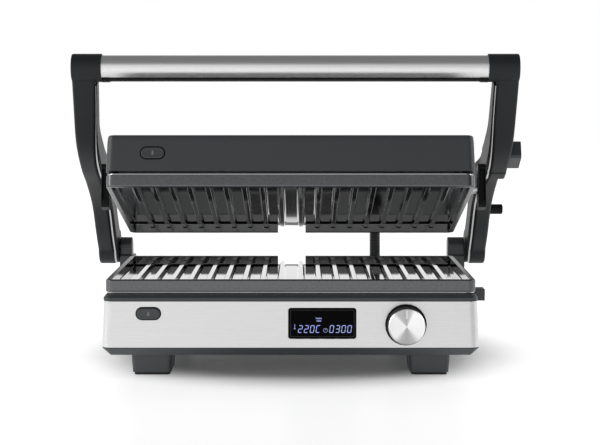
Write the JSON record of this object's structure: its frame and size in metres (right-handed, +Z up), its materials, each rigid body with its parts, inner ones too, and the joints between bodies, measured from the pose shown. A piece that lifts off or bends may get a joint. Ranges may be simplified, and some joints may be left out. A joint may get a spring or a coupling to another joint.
{
  "type": "panini press",
  "caption": "Countertop contact grill: ridged plates in a base and a floating head, which two side arms with a tube handle lift on a rear hinge.",
  "frame": {"origin": "middle of the outline's box, on the surface that the feet stand on", "axes": "+X to the user's right, +Y to the back, +Z up; the front with the controls faces -Y"},
  "size_m": [0.4276, 0.3613, 0.2887],
  "materials": {
    "dark_plastic": "fine moulded grain, charcoal",
    "black_plastic": "smooth black moulding",
    "brushed_steel": "brushed along its length",
    "handle_steel": "brushed round tube",
    "inner_steel": "plain drawn or pressed steel",
    "spun_aluminium": "spun face, turned edge",
    "nonstick_aluminium": "cast, with a dark semi-gloss non-stick coating",
    "rubber": "matt",
    "display_black": "glossy black window",
    "element_steel": "heat-tinted sheath",
    "circuit_board": "green laminate"
  },
  "bodies": {
    "root": {"base_pan": "dark_plastic", "base_shell": "dark_plastic", "front_panel": "brushed_steel", "deck": "dark_plastic", "drip_funnel": "black_plastic", "lower_heat_pan": "inner_steel", "lower_heating_element": "element_steel", "lower_temperature_probe": "element_steel", "lower_grill_plate": "nonstick_aluminium", "mains_gland": "black_plastic", "display_window": "display_black", "display_module": "circuit_board", "control_board": "circuit_board", "rotary_encoder": "black_plastic", "knob_ring": "black_plastic", "lower_boot": "rubber", "link_cable": "rubber", "foot_front_left": "dark_plastic", "foot_pad_front_left": "rubber", "foot_rear_left": "dark_plastic", "foot_pad_rear_left": "rubber", "foot_front_right": "dark_plastic", "foot_pad_front_right": "rubber", "foot_rear_right": "dark_plastic", "foot_pad_rear_right": "rubber", "hinge_lug_left": "dark_plastic", "hinge_pin_left": "inner_steel", "hinge_lug_right": "dark_plastic", "hinge_pin_right": "inner_steel"},
    "arms": {"arm_cover_left": "dark_plastic", "arm_cover_right": "dark_plastic", "arm_core_left": "inner_steel", "arm_core_right": "inner_steel", "arm_liner_left": "black_plastic", "arm_liner_right": "black_plastic", "float_bracket_left": "black_plastic", "float_bracket_right": "black_plastic", "handle_tube": "handle_steel", "handle_grip_strip": "black_plastic"},
    "head": {"upper_grill_plate": "nonstick_aluminium", "upper_heat_pan": "inner_steel", "upper_heating_element": "element_steel", "upper_temperature_probe": "element_steel", "head_cover": "dark_plastic", "head_frame": "black_plastic", "top_inlay": "brushed_steel", "upper_boot": "rubber", "pivot_pin_left": "inner_steel", "pivot_pin_right": "inner_steel"},
    "encoder_push": {"encoder_shaft": "inner_steel"},
    "knob": {"control_knob": "spun_aluminium"},
    "lower_release": {"lower_release_button": "dark_plastic", "lower_button_spring": "inner_steel"},
    "upper_release": {"upper_release_button": "dark_plastic"},
    "slider": {"height_slider": "dark_plastic"},
    "arm_lock": {"arm_lock_button": "black_plastic"},
    "catch": {"storage_catch": "dark_plastic"},
    "tray": {"drip_tray": "dark_plastic"}
  },
  "joints": [
    {"name": "arm_hinge", "type": "hinge", "parent": "root", "child": "arms", "pos_m": [0, 0.1616, 0.089], "axis": [-1, 0, 0], "range_deg": [-15, 145], "deforming": ["link_cable"]},
    {"name": "head_float", "type": "slide", "parent": "arms", "child": "head", "axis": [0, 0.2588, 0.9659], "range_m": [0, 0.014], "deforming": ["link_cable"]},
    {"name": "encoder_press", "type": "slide", "parent": "root", "child": "encoder_push", "axis": [0, 1, 0], "range_m": [0, 0.0015], "stiffness_N_per_m": 800},
    {"name": "knob_turn", "type": "hinge", "parent": "encoder_push", "child": "knob", "pos_m": [0.0932, -0.1754, 0.048], "axis": [0, 1, 0], "continuous": true},
    {"name": "lower_release_press", "type": "slide", "parent": "root", "child": "lower_release", "axis": [0, 1, 0], "range_m": [0, 0.003], "stiffness_N_per_m": 600},
    {"name": "upper_release_press", "type": "slide", "parent": "head", "child": "upper_release", "axis": [0, 0.9659, -0.2588], "range_m": [0, 0.003], "stiffness_N_per_m": 600},
    {"name": "height_slide", "type": "slide", "parent": "arms", "child": "slider", "axis": [0, -0.8895, 0.457], "range_m": [0, 0.016]},
    {"name": "arm_lock_press", "type": "slide", "parent": "arms", "child": "arm_lock", "axis": [-1, 0, 0], "range_m": [0, 0.005], "stiffness_N_per_m": 500},
    {"name": "catch_slide", "type": "slide", "parent": "root", "child": "catch", "axis": [0, 1, 0], "range_m": [0, 0.008]},
    {"name": "tray_slide", "type": "slide", "parent": "root", "child": "tray", "axis": [0, 1, 0], "range_m": [0, 0.1]}
  ]
}
